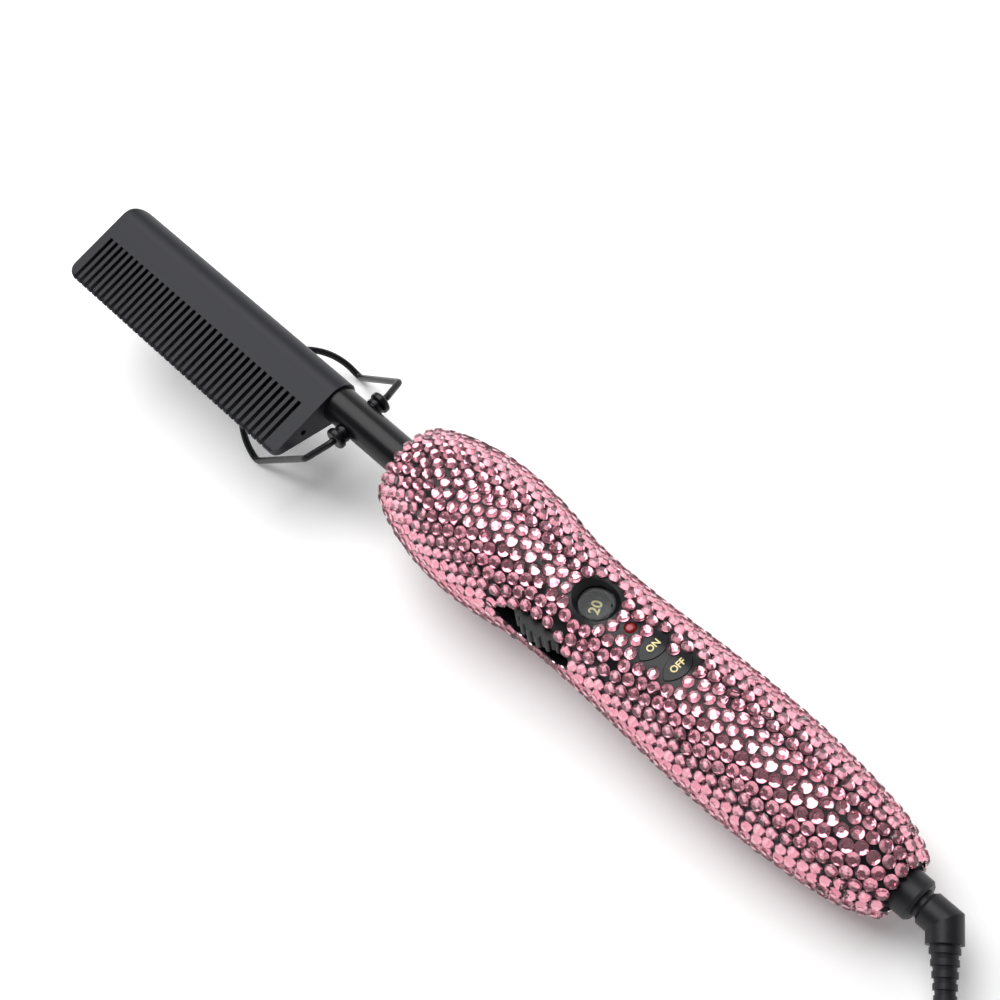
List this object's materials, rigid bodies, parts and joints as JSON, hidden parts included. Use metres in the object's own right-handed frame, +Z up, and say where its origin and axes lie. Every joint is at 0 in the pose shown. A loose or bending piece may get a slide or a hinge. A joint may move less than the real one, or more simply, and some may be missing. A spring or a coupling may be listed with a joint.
{
  "type": "electric hot comb",
  "caption": "Electric hot comb: coated metal comb, crystal-covered handle with thumbwheel, window, lamp and on and off buttons, folding wire stand, swivel cord and plug.",
  "frame": {"origin": "centre of the tool's footprint on the table it rests on, without the cord", "axes": "+X along the tool from the comb's tip towards the cord, +Y to the spine side of the comb, +Z up from the table through the buttons"},
  "size_m": [0.4258, 0.0615, 0.0397],
  "materials": {
    "comb_coating": "satin black ceramic coating on a cast comb",
    "barrel_black": "semi-gloss black tube",
    "stand_wire": "gloss black coated spring wire",
    "heater_steel": "heat-tinted cartridge sheath",
    "plain_steel": "bright zinc-plated steel",
    "shell_black": "gloss black moulded plastic",
    "heat_plastic": "matt heat-resisting plastic",
    "crystal_pink": "pink foiled crystals set side by side",
    "lens_clear": "clear polished lens",
    "dial_black": "satin black with pale yellow numbers",
    "lamp_red": "dark red translucent lamp",
    "board_green": "varnished circuit board",
    "lead_insulation": "glass-braid insulation",
    "swivel_black": "semi-gloss black moulded plastic",
    "cord_rubber": "satin black soft jacket",
    "plug_black": "satin black moulded plug",
    "blade_brass": "bright plated brass"
  },
  "bodies": {
    "tool": {"comb_blade": "comb_coating", "heater_core": "heater_steel", "barrel_tube": "barrel_black", "stand_bushes": "barrel_black", "handle_top_shell": "shell_black", "handle_bottom_shell": "shell_black", "handle_screws": "plain_steel", "crystal_layer": "crystal_pink", "barrel_collar": "heat_plastic", "dial_window_bezel": "shell_black", "dial_window_lens": "lens_clear", "dial_potentiometer": "heat_plastic", "control_board": "board_green", "board_screws": "plain_steel", "indicator_led": "lamp_red", "indicator_lens": "lamp_red", "on_switch": "heat_plastic", "off_switch": "heat_plastic", "swivel_collar": "swivel_black", "contact_block": "heat_plastic", "heater_leads": "lead_insulation", "mains_leads": "lead_insulation", "cord_run": "cord_rubber", "cord_coil": "cord_rubber", "cord_end": "cord_rubber", "cord_tie": "cord_rubber", "plug_body": "plug_black", "plug_blades": "blade_brass"},
    "stand": {"wire_stand": "stand_wire"},
    "dial": {"temperature_dial": "dial_black", "dial_spindle": "plain_steel"},
    "on_key": {"on_button": "shell_black", "on_plunger": "heat_plastic"},
    "off_key": {"off_button": "shell_black", "off_plunger": "heat_plastic"},
    "swivel": {"swivel_elbow": "swivel_black", "swivel_pin": "plain_steel", "strain_relief": "cord_rubber"}
  },
  "joints": [
    {"name": "stand_hinge", "type": "hinge", "parent": "tool", "child": "stand", "pos_m": [-0.04829, 0.00128, 0.02457], "axis": [0, 1, 0], "range_deg": [-130, 8]},
    {"name": "dial_turn", "type": "hinge", "parent": "tool", "child": "dial", "pos_m": [0.02896, -0.00152, 0.02118], "axis": [0.0683, 0, 0.9977], "range_deg": [-135, 135]},
    {"name": "on_press", "type": "slide", "parent": "tool", "child": "on_key", "axis": [-0.0683, 0, -0.9977], "range_m": [0, 0.0006], "stiffness_N_per_m": 1000, "springref_m": -0.0003},
    {"name": "off_press", "type": "slide", "parent": "tool", "child": "off_key", "axis": [-0.0683, 0, -0.9977], "range_m": [0, 0.0006], "stiffness_N_per_m": 1000, "springref_m": -0.0003},
    {"name": "cord_swivel", "type": "hinge", "parent": "tool", "child": "swivel", "pos_m": [0.13369, 0.00128, 0.01211], "axis": [0.9977, 0, -0.0683], "continuous": true}
  ]
}
